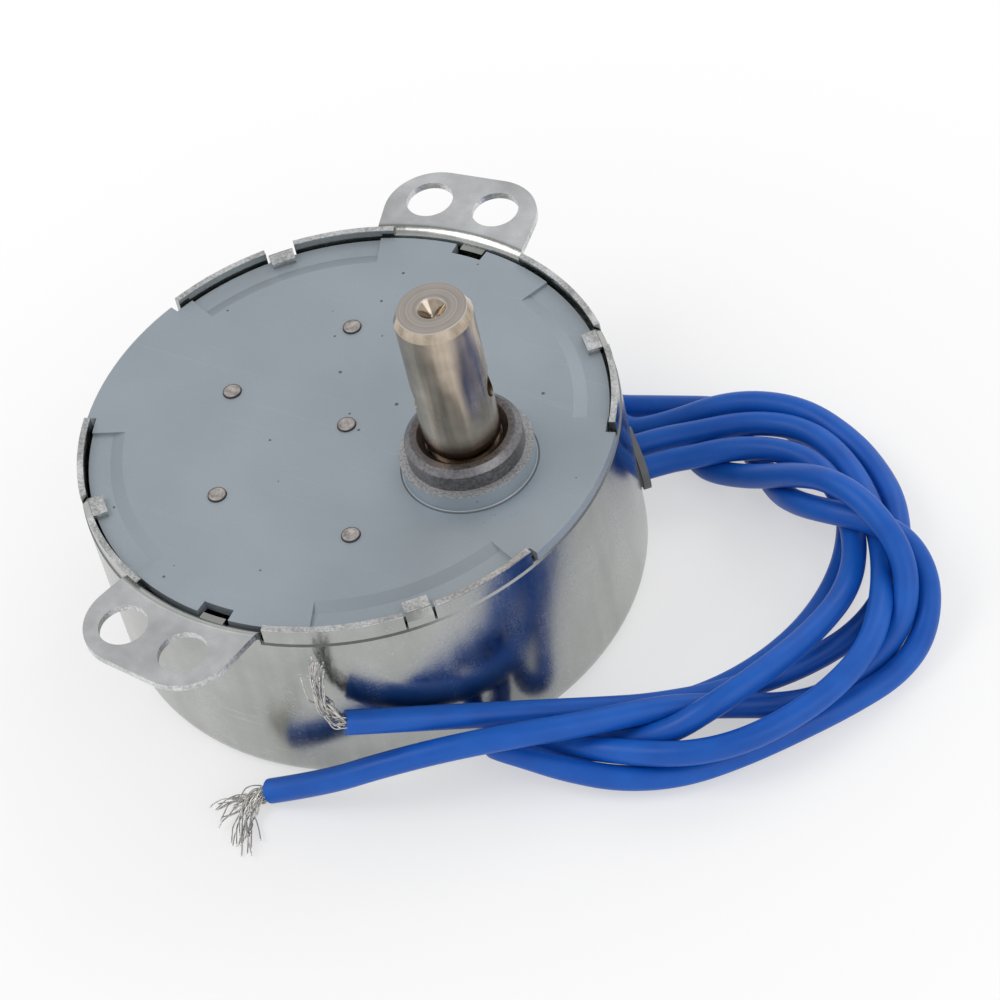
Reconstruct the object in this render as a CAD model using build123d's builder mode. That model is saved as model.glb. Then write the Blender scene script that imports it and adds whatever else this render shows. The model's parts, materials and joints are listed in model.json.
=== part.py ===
import os
from math import acos, asin, atan2, cos, degrees, hypot, pi, radians, sin, tan

from build123d import *

# Synchronous gear motor: a drawn can with two ears, a crimped cover plate, a
# claw-pole stator, a magnet rotor and five pairs of spur gears that turn an
# offset output shaft. Millimetres, +Z along the shaft, origin under the middle of the can.
# The ears lie on the Y axis and the shaft is offset along +X.

# Can and cover
can_diameter = 50.0
sheet = 0.7
base_corner = 1.6
seat_height = 18.8
seat_bevel = 0.25
cover_thickness = 1.0
cover_inset = 0.1
edge_gap = 0.3
overrun = 2.0

# Raised lips, staked tabs and the coined pockets under them
lip_rise = 0.7
lip_inset = 0.12
lip_half_angle = 26.0
lip_relief_angle = 1.4
quarter_angle = 90.0
first_lip_angle = 45.0
tab_half_angle = 2.8
tab_side_angle = 0.5
tab_reach = 1.4
tab_thickness = 0.65
tab_bend = 0.55
pocket_half_angle = 23.0
pocket_depth = 0.3
pocket_width = 2.0
pocket_slope = 1.2

# Ears
ear_angle = 96.75
ear_hole_half_angle = 6.75
ear_hole_diameter = 4.5
ear_hole_reach = 3.8
ear_reach = 7.45
ear_left_root = 6.6
ear_left_tip = 8.35
ear_right_root = 8.0
ear_right_tip = 7.45
ear_corner = 4.8
ear_rise = 0.5
ear_bend = 0.55
notch_width = 3.2
notch_depth = 1.2
tongue_width = 2.4
tongue_reach = 0.6
tongue_drop = 0.3

# Output shaft, bush and collar
shaft_diameter = 7.0
shaft_length = 19.5
shaft_end_width = 0.45
shaft_end_length = 1.0
centre_hole_diameter = 2.6
centre_hole_depth = 1.5
cross_hole_diameter = 3.0
cross_hole_drop = 9.75
cross_hole_angle = 32.0
oil_groove_width = 0.9
oil_groove_depth = 0.3
oil_groove_rise = 0.1
journal_diameter = 4.0
bush_wall = 1.85
bush_rise = 2.15
bush_bevel = 0.55
bush_sink = 0.6
collar_wall = 0.75
collar_height = 1.95
collar_foot = 0.15
washer_thickness = 0.3
washer_width = 1.4

# Fits
running_clearance = 0.04
seat_clearance = 0.1
run_gap = 0.2

# Stator
pole_sheet = 0.8
pole_pairs = 12
claw_diameter_share = 0.456
claw_inner_diameter = can_diameter * claw_diameter_share
claw_root_width = 2.1
claw_tip_width = 1.3
claw_end_gap = 0.9
bobbin_height = 7.2
bobbin_wall = 0.6
bobbin_gap = 0.4
bobbin_can_gap = 2.8
winding_inset = 0.9
tape_thickness = 0.25

# Rotor
air_gap = 0.5
magnet_wall = 3.0
magnet_end_gap = 0.7
rotor_web = 2.4
rotor_neck_diameter = 5.0
rotor_washer_thickness = 0.3
rotor_washer_diameter = 5.0

# Gear train: the places follow the inside of the can
pin_diameter = 1.7
pin_rise = 0.15
pin_boss_wall = 0.95
gear_plate_thickness = 0.8
plate_window = 1.0
pin_radius_shares = (0.510, 0.508, 0.556, 0.555)
pin_angles = (117.5, 180.0, 238.8, 301.5)
shaft_offset_share = 0.531
tooth_pairs = ((12, 30), (12, 30), (14, 28), (14, 28), (14, 28))
gear_face_share = 0.74
pressure_angle = radians(25.0)
addendum_share = 1.0
dedendum_share = 1.25
flank_clearance = 0.035
flank_shares = (0.0, 0.5, 1.0)

# Leads and their grommet
wire_diameter = 2.3
wire_sides = 6
lead_spacing = 3.0
lead_inside = 1.7
lead_outside = 2.6
grommet_angle = 43.5
grommet_height = 4.0
grommet_wall = 0.5
grommet_flange = 0.3
grommet_outer = 0.7
strand_bundle = 1.2
strand_sides = 6
bend_share = 0.45
gap_step = 0.7

# Routes of the two leads outside the can, read off the photograph: out of the
# grommet, three times along the hank with a fold at each end, then the free end.
# Lead 1 ends on the table and lead 2 against the can
lead_1_route = [
    (22.8, 23.3, 4.1),
    (26.4, 25.2, 4.0),
    (31.0, 25.7, 4.0),
    (36.4, 23.5, 4.1),
    (41.2, 18.5, 4.3),
    (44.2, 15.4, 4.2),
    (46.7, 9.9, 4.0),
    (48.4, 4.1, 4.5),
    (47.5, -1.4, 4.4),
    (45.2, -6.2, 4.5),
    (41.8, -10.1, 4.6),
    (37.8, -12.7, 3.4),
    (33.1, -13.8, 2.8),
    (27.6, -14.6, 2.9),
    (23.5, -14.9, 2.8),
    (22.6, -16.6, 2.1),
    (23.7, -18.1, 1.25),
    (27.6, -17.6, 1.25),
    (33.8, -16.1, 1.25),
    (38.8, -14.4, 1.25),
    (42.2, -9.4, 1.25),
    (45.3, -4.8, 1.25),
    (48.8, -0.8, 1.25),
    (51.5, 3.7, 1.25),
    (52.8, 7.8, 1.25),
    (51.3, 13.1, 3.3),
    (47.4, 16.5, 5.4),
    (43.5, 16.7, 7.3),
    (39.3, 15.5, 7.2),
    (36.2, 15.9, 5.6),
    (33.4, 18.2, 2.6),
    (30.5, 21.8, 1.25),
    (27.0, 24.4, 1.25),
    (24.0, 25.2, 1.25),
    (21.6, 23.4, 1.25),
    (22.6, 20.8, 1.25),
    (25.6, 20.5, 1.25),
    (28.4, 20.0, 2.3),
    (31.1, 19.0, 5.1),
    (34.5, 18.5, 7.1),
    (39.2, 19.2, 8.2),
    (44.2, 17.1, 10.4),
    (48.5, 13.3, 6.9),
    (50.3, 7.5, 2.3),
    (48.2, 4.5, 1.4),
    (45.7, -0.1, 1.4),
    (42.5, -4.0, 2.4),
    (38.9, -6.7, 4.7),
    (34.9, -8.2, 6.4),
    (31.6, -12.3, 6.6),
    (28.5, -15.5, 7.0),
    (24.7, -18.3, 7.2),
    (19.5, -22.0, 7.0),
    (14.2, -24.3, 5.8),
    (9.0, -26.1, 3.7),
    (3.9, -28.0, 1.4),
]
lead_2_route = [
    (24.8, 21.0, 4.1),
    (27.6, 22.5, 4.1),
    (31.3, 22.7, 4.0),
    (35.5, 20.5, 3.9),
    (39.8, 15.6, 4.1),
    (42.4, 12.9, 3.9),
    (44.1, 8.3, 4.1),
    (43.3, 2.6, 5.4),
    (42.2, -3.4, 6.7),
    (40.0, -9.6, 7.2),
    (36.5, -10.5, 4.7),
    (32.1, -10.7, 2.5),
    (29.3, -12.1, 1.4),
    (26.8, -12.5, 1.25),
    (25.7, -10.8, 1.25),
    (26.8, -9.1, 1.25),
    (29.0, -8.3, 1.25),
    (31.8, -8.6, 1.25),
    (34.8, -5.6, 1.25),
    (37.6, -1.7, 1.25),
    (39.8, 2.4, 1.25),
    (41.2, 7.0, 1.25),
    (41.2, 11.7, 1.25),
    (40.1, 16.6, 1.25),
    (37.9, 20.5, 1.25),
    (34.2, 26.3, 1.25),
    (28.8, 29.2, 1.25),
    (23.4, 29.6, 1.25),
    (18.4, 27.3, 1.25),
    (13.4, 25.2, 1.25),
    (9.6, 26.4, 1.3),
    (7.2, 27.9, 2.2),
    (6.0, 27.1, 4.0),
    (7.2, 26.3, 5.8),
    (10.4, 24.8, 5.0),
    (15.5, 22.1, 1.9),
    (19.2, 24.6, 2.6),
    (24.6, 27.9, 4.0),
    (30.2, 28.7, 4.1),
    (36.0, 27.0, 3.8),
    (41.4, 22.3, 2.4),
    (45.1, 14.8, 1.25),
    (45.6, 8.4, 1.4),
    (43.4, 2.6, 2.3),
    (40.6, -2.0, 4.1),
    (36.4, -5.0, 3.9),
    (32.8, -7.7, 4.2),
    (29.2, -10.0, 4.2),
    (26.4, -12.5, 4.9),
    (22.4, -15.2, 5.9),
    (19.1, -18.7, 7.6),
    (15.6, -21.9, 9.2),
    (11.8, -24.4, 10.6),
]

# Bare strands: how far each bundle runs on from its lead and where its tips end
strand_neck = 1.2
strand_1_tips = [(-0.1, -32.7, 0.9), (3.2, -34.4, 0.9)]
strand_2_tips = [(9.9, -25.9, 17.2)]

# Worked-out sizes of the can, cover and stack
can_radius = can_diameter / 2
inner_radius = can_radius - sheet
cover_top = seat_height + cover_thickness
lip_top = cover_top + lip_rise
lip_radius = can_radius - lip_inset
cover_edge = inner_radius - edge_gap
ear_top = cover_top + ear_rise
ear_hole_radius = can_radius + ear_hole_reach
ear_tip = can_radius + ear_reach
pocket_floor = cover_top - pocket_depth
lower_plate_top = sheet + pole_sheet
bobbin_top = lower_plate_top + bobbin_height
upper_plate_top = bobbin_top + pole_sheet
gear_plate_top = upper_plate_top + gear_plate_thickness
plate_radius = inner_radius - seat_clearance
claw_radius = claw_inner_diameter / 2
claw_back = hypot(claw_radius + pole_sheet, claw_root_width / 2)
pin_radius = pin_diameter / 2
pin_boss = pin_radius + pin_boss_wall
pin_bore = pin_radius + running_clearance
pin_top = cover_top + pin_rise
shaft_radius = shaft_diameter / 2
journal_radius = journal_diameter / 2
bush_radius = shaft_radius + bush_wall
bush_top = cover_top + collar_height + bush_rise
shaft_top = cover_top + shaft_length
magnet_radius = claw_radius - air_gap
magnet_bore = magnet_radius - magnet_wall
magnet_bottom = lower_plate_top + magnet_end_gap
magnet_top = bobbin_top - magnet_end_gap
wire_radius = wire_diameter / 2

# Five gear levels share the room between the gear plate and the washer under the cover
gear_room = seat_height - gear_plate_top - washer_thickness - 3 * run_gap
level_pitch = gear_room / len(tooth_pairs)
gear_face = level_pitch * gear_face_share
level_bottoms = [gear_plate_top + run_gap + level * level_pitch for level in range(len(tooth_pairs))]
level_tops = [bottom + gear_face for bottom in level_bottoms]

lip_angles = [first_lip_angle + quarter_angle * turn for turn in range(4)]


def polar(radius, angle):
    """A point at a radius and an angle in degrees."""
    return (radius * cos(radians(angle)), radius * sin(radians(angle)))


centre = (0, 0)
pin_places = [polar(inner_radius * share, angle) for share, angle in zip(pin_radius_shares, pin_angles)]
shaft_place = (inner_radius * shaft_offset_share, 0)
axle_places = [centre] + pin_places + [shaft_place]


def level_plane(place, height):
    """A horizontal sketch plane over a place."""
    return Plane(origin=(place[0], place[1], height))


def radial_plane(angle):
    """An upright sketch plane through the Z axis: local X points outwards, local Y up."""
    return Plane(
        origin=(0, 0, 0),
        x_dir=(cos(radians(angle)), sin(radians(angle)), 0),
        z_dir=(sin(radians(angle)), -cos(radians(angle)), 0),
    )


def disc(place, bottom, top, radius, mode=Mode.ADD):
    """A round disc, boss or bore between two heights."""
    with BuildSketch(level_plane(place, bottom)) as outline:
        Circle(radius)
    extrude(outline.sketch, amount=top - bottom, mode=mode)


def ring_sector(bottom, top, inner, outer, middle, half_angle, mode=Mode.ADD):
    """A sector of a ring round the Z axis between two heights."""
    with BuildSketch(level_plane(centre, bottom)) as outline:
        with BuildLine():
            inside = CenterArc(centre, inner, middle - half_angle, 2 * half_angle)
            outside = CenterArc(centre, outer, middle - half_angle, 2 * half_angle)
            Line(inside @ 0, outside @ 0)
            Line(inside @ 1, outside @ 1)
        make_face()
    extrude(outline.sketch, amount=top - bottom, mode=mode)


def involute(angle):
    """The involute function of a pressure angle."""
    return tan(angle) - angle


def gear_outline(teeth, module, phase):
    """Corner points of a spur gear: involute flanks, flat tips and roots, one tooth at the phase."""
    pitch = module * teeth / 2
    base = pitch * cos(pressure_angle)
    tip = pitch + addendum_share * module
    root = pitch - dedendum_share * module
    half_tooth = pi / (2 * teeth) - flank_clearance / pitch + involute(pressure_angle)
    foot = max(base, root)
    flank = []
    for share in flank_shares:
        radius = foot + share * (tip - foot)
        flank.append((radius, half_tooth - involute(acos(base / radius))))
    if root < foot:
        flank.insert(0, (root, flank[0][1]))
    points = []
    for tooth in range(teeth):
        middle = phase + 2 * pi * tooth / teeth
        for radius, half in flank:
            points.append((radius * cos(middle - half), radius * sin(middle - half)))
        for radius, half in reversed(flank):
            points.append((radius * cos(middle + half), radius * sin(middle + half)))
    return points


def toothed_disc(place, bottom, top, teeth, module, phase):
    """A spur gear rim between two heights."""
    with BuildSketch(level_plane(place, bottom)) as outline:
        with BuildLine():
            Polyline(*gear_outline(teeth, module, phase), close=True)
        make_face()
    extrude(outline.sketch, amount=top - bottom)


# Each stage's module comes from its centre distance, and each wheel is turned so
# that a gap of its teeth faces a tooth of its pinion
modules = []
pinion_phases = []
wheel_phases = []
for stage, (pinion_teeth, wheel_teeth) in enumerate(tooth_pairs):
    start, end = axle_places[stage], axle_places[stage + 1]
    along = atan2(end[1] - start[1], end[0] - start[0])
    modules.append(2 * hypot(end[0] - start[0], end[1] - start[1]) / (pinion_teeth + wheel_teeth))
    pinion_phase = wheel_phases[-1] if wheel_phases else 0
    pinion_phases.append(pinion_phase)
    wheel_phases.append(along + pi + (pinion_teeth * (along - pinion_phase) - pi) / wheel_teeth)

os.makedirs("parts", exist_ok=True)


def write(builder, name):
    """Label a finished piece and write it under its own name."""
    builder.part.label = name
    export_step(builder.part, f"parts/{name}.step")


# Ears: a flange drawn over a bend, cut to the outline of the two ears
with BuildPart() as ears:
    bend_middle = (inner_radius + sheet + ear_bend, ear_top - sheet - ear_bend)
    with BuildSketch(Plane.XZ):
        with BuildLine():
            outside = CenterArc(bend_middle, ear_bend, 90, 90)
            inside = CenterArc(bend_middle, ear_bend + sheet, 90, 90)
            flange_end = ear_tip + overrun
            wall_foot = seat_height - overrun
            Polyline(outside @ 0, (flange_end, ear_top - sheet), (flange_end, ear_top), inside @ 0)
            Polyline(outside @ 1, (can_radius, wall_foot), (inner_radius, wall_foot), inside @ 1)
        make_face()
    revolve(axis=Axis.Z)
    with BuildSketch(level_plane(centre, seat_height - 2 * overrun)):
        for side in (1, -1):
            axis_plane = Plane(origin=(0, 0, 0), x_dir=(*polar(1, side * ear_angle), 0))
            corners = [
                axis_plane.from_local_coords((along, side * across, 0))
                for along, across in (
                    (inner_radius - overrun, ear_left_root),
                    (ear_tip, ear_left_tip),
                    (ear_tip, -ear_right_tip),
                    (inner_radius - overrun, -ear_right_root),
                )
            ]
            with BuildLine():
                FilletPolyline(*corners, radius=ear_corner)
                Line(corners[0], corners[-1])
            make_face()
    extrude(amount=ear_top - seat_height + 3 * overrun, mode=Mode.INTERSECT)
    for side in (1, -1):
        for turn in (-ear_hole_half_angle, ear_hole_half_angle):
            hole_place = polar(ear_hole_radius, side * (ear_angle + turn))
            hole_bottom = ear_top - sheet - overrun
            disc(hole_place, hole_bottom, ear_top + overrun, ear_hole_diameter / 2, Mode.SUBTRACT)

# Can: a drawn cup, its seat cut level, with four lips, their staked tabs and the ears;
# on the shaft's side the rim runs on from each ear to the next lip
with BuildPart() as housing_can:
    with BuildSketch(Plane.XZ):
        with BuildLine():
            Line((0, 0), (can_radius - base_corner, 0))
            RadiusArc((can_radius - base_corner, 0), (can_radius, base_corner), -base_corner)
            Polyline(
                (can_radius, base_corner),
                (can_radius, seat_height - seat_bevel),
                (can_radius - seat_bevel, seat_height),
                (inner_radius, seat_height),
                (inner_radius, base_corner),
                (can_radius - base_corner, sheet),
                (0, sheet),
                (0, 0),
            )
        make_face()
    revolve(axis=Axis.Z)
    add(ears.part)
    tab_top = pocket_floor + tab_thickness
    for angle in lip_angles:
        ring_sector(seat_height, lip_top, inner_radius, lip_radius, angle, lip_half_angle)
        ring_sector(
            seat_height,
            lip_top + overrun,
            inner_radius - overrun,
            can_radius + overrun,
            angle,
            tab_half_angle + tab_side_angle,
            Mode.SUBTRACT,
        )
        with BuildSketch(radial_plane(angle - tab_half_angle)):
            Polygon(
                (inner_radius, seat_height),
                (lip_radius, seat_height),
                (lip_radius, tab_top - tab_bend),
                (lip_radius - tab_bend, tab_top),
                (inner_radius - tab_reach, tab_top),
                (inner_radius - tab_reach, pocket_floor),
                (inner_radius, pocket_floor),
                align=None,
            )
        revolve(axis=Axis.Z, revolution_arc=2 * tab_half_angle)
    lip_end_angle = first_lip_angle + lip_half_angle
    ear_edge_angle = ear_angle - degrees(asin(ear_right_root / inner_radius))
    for side in (1, -1):
        ring_sector(
            seat_height,
            lip_top,
            inner_radius,
            lip_radius,
            side * (ear_edge_angle + lip_end_angle) / 2,
            (ear_edge_angle - lip_end_angle) / 2,
        )
    tongue_half = degrees(tongue_width / 2 / inner_radius)
    for side in (1, -1):
        ring_sector(
            seat_height,
            cover_top - tongue_drop,
            inner_radius - tongue_reach,
            can_radius - sheet / 2,
            side * quarter_angle,
            tongue_half,
        )
    disc(centre, -overrun, sheet + overrun, pin_radius, Mode.SUBTRACT)
    grommet_plane = Plane(
        origin=(*polar(inner_radius - overrun, grommet_angle), grommet_height),
        x_dir=(-sin(radians(grommet_angle)), cos(radians(grommet_angle)), 0),
        z_dir=(*polar(1, grommet_angle), 0),
    )
    slot_height = wire_diameter + 2 * grommet_wall
    slot_width = lead_spacing + slot_height
    with BuildSketch(grommet_plane):
        SlotOverall(slot_width + 2 * running_clearance, slot_height + 2 * running_clearance)
    extrude(amount=2 * overrun + sheet, mode=Mode.SUBTRACT)
write(housing_can, "housing_can")

# Cover plate: notched at lips and ears, coined pockets, pin holes and a drawn collar round the bush
with BuildPart() as cover_plate:
    disc(centre, seat_height, cover_top, can_radius - cover_inset)
    for angle in lip_angles:
        ring_sector(
            seat_height - overrun,
            cover_top + overrun,
            cover_edge,
            can_radius + overrun,
            angle,
            lip_half_angle + lip_relief_angle,
            Mode.SUBTRACT,
        )
        with BuildSketch(radial_plane(angle - pocket_half_angle)):
            Polygon(
                (cover_edge - pocket_width - pocket_slope, cover_top),
                (cover_edge - pocket_width, pocket_floor),
                (can_radius, pocket_floor),
                (can_radius, cover_top),
                align=None,
            )
        revolve(axis=Axis.Z, revolution_arc=2 * pocket_half_angle, mode=Mode.SUBTRACT)
    ear_half = quarter_angle - first_lip_angle - lip_half_angle
    notch_half = degrees(notch_width / 2 / cover_edge)
    for side in (1, -1):
        for inside, half_angle in ((cover_edge, ear_half), (cover_edge - notch_depth, notch_half)):
            ring_sector(
                seat_height - overrun,
                cover_top + overrun,
                inside,
                can_radius + overrun,
                side * quarter_angle,
                half_angle,
                Mode.SUBTRACT,
            )
    with BuildSketch(Plane.XZ):
        with Locations((shaft_place[0], 0)):
            Polygon(
                (bush_radius, seat_height),
                (bush_radius, cover_top + collar_height),
                (bush_radius + collar_wall, cover_top + collar_height),
                (bush_radius + collar_wall, cover_top + collar_foot),
                (bush_radius + collar_wall + collar_foot, cover_top),
                (bush_radius + collar_wall + collar_foot, seat_height),
                align=None,
            )
    revolve(axis=Axis((*shaft_place, 0), (0, 0, 1)))
    disc(shaft_place, seat_height - overrun, bush_top, bush_radius, Mode.SUBTRACT)
    for place in [centre] + pin_places:
        disc(place, seat_height - overrun, cover_top + overrun, pin_bore, Mode.SUBTRACT)
write(cover_plate, "cover_plate")

# Bush: a sintered sleeve with a bevelled rim and an oil sink round the shaft
with BuildPart() as output_bush:
    disc(shaft_place, seat_height, bush_top, bush_radius)
    chamfer(output_bush.edges().group_by(Axis.Z)[-1], bush_bevel)
    bush_bore = shaft_radius + running_clearance
    disc(shaft_place, seat_height - overrun, bush_top + overrun, bush_bore, Mode.SUBTRACT)
    chamfer(output_bush.edges().group_by(Axis.Z)[-1].sort_by(SortBy.LENGTH)[0], bush_sink)
write(output_bush, "output_bush")

# Pins: one through the rotor from the can floor, four standing on the gear plate
with BuildPart() as rotor_pin:
    disc(centre, 0, pin_top, pin_radius)
write(rotor_pin, "rotor_pin")

for number, place in enumerate(pin_places, 1):
    with BuildPart() as gear_pin:
        disc(place, upper_plate_top, pin_top, pin_radius)
    write(gear_pin, f"gear_pin_{number}")

# Gear plate: carries the gear pins and the foot of the output shaft
with BuildPart() as gear_plate:
    window_radius = modules[0] * (tooth_pairs[0][0] / 2 + addendum_share) + plate_window
    disc(centre, upper_plate_top, gear_plate_top, plate_radius)
    plate_holes = [(centre, window_radius), (shaft_place, journal_radius + running_clearance)]
    plate_holes += [(place, pin_radius) for place in pin_places]
    for place, hole_radius in plate_holes:
        disc(place, upper_plate_top - overrun, gear_plate_top + overrun, hole_radius, Mode.SUBTRACT)
write(gear_plate, "gear_plate")


def pole_plate(bottom, tip, radius, first_angle):
    """A flat ring with tapered claws bent off its inner edge towards the tip height."""
    top = bottom + pole_sheet
    disc(centre, bottom, top, radius)
    disc(centre, bottom - overrun, top + overrun, claw_back, Mode.SUBTRACT)
    root = bottom if tip > bottom else top
    for claw in range(pole_pairs):
        angle = first_angle + claw * 360 / pole_pairs
        across = (-sin(radians(angle)), cos(radians(angle)), 0)
        outwards = (*polar(1, angle), 0)
        claw_plane = Plane(origin=(*polar(claw_radius, angle), 0), x_dir=across, z_dir=outwards)
        with BuildSketch(claw_plane) as claw_face:
            Polygon(
                (-claw_root_width / 2, root),
                (claw_root_width / 2, root),
                (claw_tip_width / 2, tip),
                (-claw_tip_width / 2, tip),
                align=None,
            )
        extrude(claw_face.sketch, amount=pole_sheet)
        foot_plane = Plane(origin=(*polar(claw_radius, angle), bottom), x_dir=across, z_dir=(0, 0, 1))
        with BuildSketch(foot_plane) as claw_foot:
            Rectangle(claw_root_width, 2 * pole_sheet, align=(Align.CENTER, Align.MAX))
        extrude(claw_foot.sketch, amount=pole_sheet)


# Pole plates: two rings of claws that reach past each other round the rotor
with BuildPart() as lower_pole_plate:
    pole_plate(sheet, bobbin_top - claw_end_gap, can_radius - base_corner, 0)
write(lower_pole_plate, "lower_pole_plate")

with BuildPart() as upper_pole_plate:
    pole_plate(bobbin_top, lower_plate_top + claw_end_gap, plate_radius, 180 / pole_pairs)
write(upper_pole_plate, "upper_pole_plate")

# Bobbin, winding and its tape
bobbin_bore = claw_back + bobbin_gap
bobbin_radius = inner_radius - bobbin_can_gap
winding_radius = bobbin_radius - winding_inset

with BuildPart() as coil_bobbin:
    with BuildSketch(Plane.XZ):
        with Locations((bobbin_bore, lower_plate_top)):
            Rectangle(bobbin_wall, bobbin_height, align=Align.MIN)
            Rectangle(bobbin_radius - bobbin_bore, bobbin_wall, align=Align.MIN)
        with Locations((bobbin_bore, bobbin_top - bobbin_wall)):
            Rectangle(bobbin_radius - bobbin_bore, bobbin_wall, align=Align.MIN)
    revolve(axis=Axis.Z)
write(coil_bobbin, "coil_bobbin")

with BuildPart() as coil_winding:
    disc(centre, lower_plate_top + bobbin_wall, bobbin_top - bobbin_wall, winding_radius)
    disc(centre, 0, bobbin_top, bobbin_bore + bobbin_wall, Mode.SUBTRACT)
write(coil_winding, "coil_winding")

with BuildPart() as coil_tape:
    disc(centre, lower_plate_top + bobbin_wall, bobbin_top - bobbin_wall, winding_radius + tape_thickness)
    disc(centre, 0, bobbin_top, winding_radius, Mode.SUBTRACT)
write(coil_tape, "coil_tape")

# Rotor: a ring magnet on a moulded hub whose pinion rises through the gear plate
with BuildPart() as rotor_washer:
    disc(centre, sheet, sheet + rotor_washer_thickness, rotor_washer_diameter / 2)
    disc(centre, 0, bobbin_top, pin_bore, Mode.SUBTRACT)
write(rotor_washer, "rotor_washer")

with BuildPart() as rotor_magnet:
    disc(centre, magnet_bottom, magnet_top, magnet_radius)
    disc(centre, 0, bobbin_top, magnet_bore, Mode.SUBTRACT)
write(rotor_magnet, "rotor_magnet")

with BuildPart() as rotor_hub:
    web_bottom = (magnet_bottom + magnet_top - rotor_web) / 2
    disc(centre, web_bottom, web_bottom + rotor_web, magnet_bore)
    disc(centre, sheet + rotor_washer_thickness + run_gap, level_bottoms[0], rotor_neck_diameter / 2)
    toothed_disc(centre, upper_plate_top, level_tops[0], tooth_pairs[0][0], modules[0], pinion_phases[0])
    disc(centre, level_tops[0], seat_height - run_gap, pin_boss)
    disc(centre, 0, cover_top, pin_bore, Mode.SUBTRACT)
write(rotor_hub, "rotor_hub")


def wheel_and_boss(stage):
    """A gear wheel on its level with a boss down to the gear plate."""
    place = pin_places[stage]
    disc(place, gear_plate_top + run_gap / 2, level_bottoms[stage], pin_boss)
    toothed_disc(
        place,
        level_bottoms[stage],
        level_tops[stage],
        tooth_pairs[stage][1],
        modules[stage],
        wheel_phases[stage],
    )


def pinion_and_boss(stage):
    """The pinion above a wheel, with a boss up to the cover."""
    place = pin_places[stage]
    toothed_disc(
        place,
        level_tops[stage],
        level_tops[stage + 1],
        tooth_pairs[stage + 1][0],
        modules[stage + 1],
        pinion_phases[stage + 1],
    )
    disc(place, level_tops[stage + 1], seat_height - run_gap, pin_boss)


def pin_bore_through(stage):
    """The running bore of a gear on its pin."""
    disc(pin_places[stage], 0, cover_top, pin_bore, Mode.SUBTRACT)


# The first two gears are moulded in one piece
for stage, name in enumerate(("first_gear", "second_gear")):
    with BuildPart() as moulded_gear:
        wheel_and_boss(stage)
        pinion_and_boss(stage)
        pin_bore_through(stage)
    write(moulded_gear, name)

# The last two carry more load: a steel pinion sits on each brass wheel
for stage, name in enumerate(("third_gear", "fourth_gear"), 2):
    with BuildPart() as gear_wheel:
        wheel_and_boss(stage)
        pin_bore_through(stage)
    write(gear_wheel, f"{name}_wheel")
    with BuildPart() as gear_pinion:
        pinion_and_boss(stage)
        pin_bore_through(stage)
    write(gear_pinion, f"{name}_pinion")

# Output gear, thrust washer and shaft, which has an oil groove where it leaves the bush
with BuildPart() as output_gear:
    toothed_disc(
        shaft_place, level_bottoms[-1], level_tops[-1], tooth_pairs[-1][1], modules[-1], wheel_phases[-1]
    )
    disc(shaft_place, 0, cover_top, shaft_radius, Mode.SUBTRACT)
write(output_gear, "output_gear")

with BuildPart() as thrust_washer:
    washer_bottom = level_tops[-1] + run_gap / 2
    disc(shaft_place, washer_bottom, washer_bottom + washer_thickness, shaft_radius + washer_width)
    disc(shaft_place, 0, cover_top, shaft_radius + running_clearance, Mode.SUBTRACT)
write(thrust_washer, "thrust_washer")

with BuildPart() as output_shaft:
    disc(shaft_place, upper_plate_top + run_gap, level_bottoms[-1], journal_radius)
    disc(shaft_place, level_bottoms[-1], shaft_top, shaft_radius)
    chamfer(output_shaft.edges().group_by(Axis.Z)[-1], shaft_end_length, shaft_end_width)
    with BuildSketch(Plane.XZ):
        with Locations((shaft_place[0], shaft_top)):
            Polygon((0, 0), (centre_hole_diameter / 2, 0), (0, -centre_hole_depth), align=None)
    revolve(axis=Axis((*shaft_place, 0), (0, 0, 1)), mode=Mode.SUBTRACT)
    groove_top = bush_top + oil_groove_rise
    with BuildSketch(level_plane(shaft_place, groove_top)):
        Circle(shaft_radius + overrun)
        Circle(shaft_radius - oil_groove_depth, mode=Mode.SUBTRACT)
    extrude(amount=-oil_groove_width, mode=Mode.SUBTRACT)
    cross_plane = Plane(
        origin=(*shaft_place, shaft_top - cross_hole_drop), z_dir=(*polar(1, cross_hole_angle), 0)
    )
    with BuildSketch(cross_plane):
        Circle(cross_hole_diameter / 2)
    extrude(amount=shaft_diameter, both=True, mode=Mode.SUBTRACT)
write(output_shaft, "output_shaft")

# Grommet: a plug with two bores in the slot of the can wall and a flange outside it
with BuildPart() as lead_grommet:
    with BuildSketch(grommet_plane):
        SlotOverall(slot_width, slot_height)
    extrude(amount=overrun + sheet + grommet_outer)
    with BuildSketch(grommet_plane.offset(overrun + sheet + running_clearance)):
        SlotOverall(slot_width + 2 * grommet_flange, slot_height + 2 * grommet_flange)
    extrude(amount=grommet_outer)
    with BuildSketch(grommet_plane):
        with GridLocations(lead_spacing, 0, 2, 1):
            Circle(wire_radius + running_clearance)
    extrude(amount=2 * overrun + sheet, mode=Mode.SUBTRACT)
write(lead_grommet, "lead_grommet")


def bend_radii(route):
    """The arc at each inner point of a route: as wide as its shorter run allows."""
    radii = []
    for before, here, after in zip(route, route[1:], route[2:]):
        back = Vector(*before) - Vector(*here)
        ahead = Vector(*after) - Vector(*here)
        half_turn = radians(180 - back.get_angle(ahead)) / 2
        radii.append(bend_share * min(back.length, ahead.length) / tan(half_turn))
    return radii


def run_tube(route, diameter, sides):
    """A tube along straight runs joined by arcs; gives back its path and the area of its section."""
    with BuildLine() as run:
        FilletPolyline(*route, radius=bend_radii(route))
    start = Plane(origin=route[0], z_dir=Vector(*route[1]) - Vector(*route[0]))
    with BuildSketch(start) as section:
        RegularPolygon(diameter / 2, sides)
    sweep(section.sketch, path=run.wires()[0])
    return run.wires()[0], section.sketch.area


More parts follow.
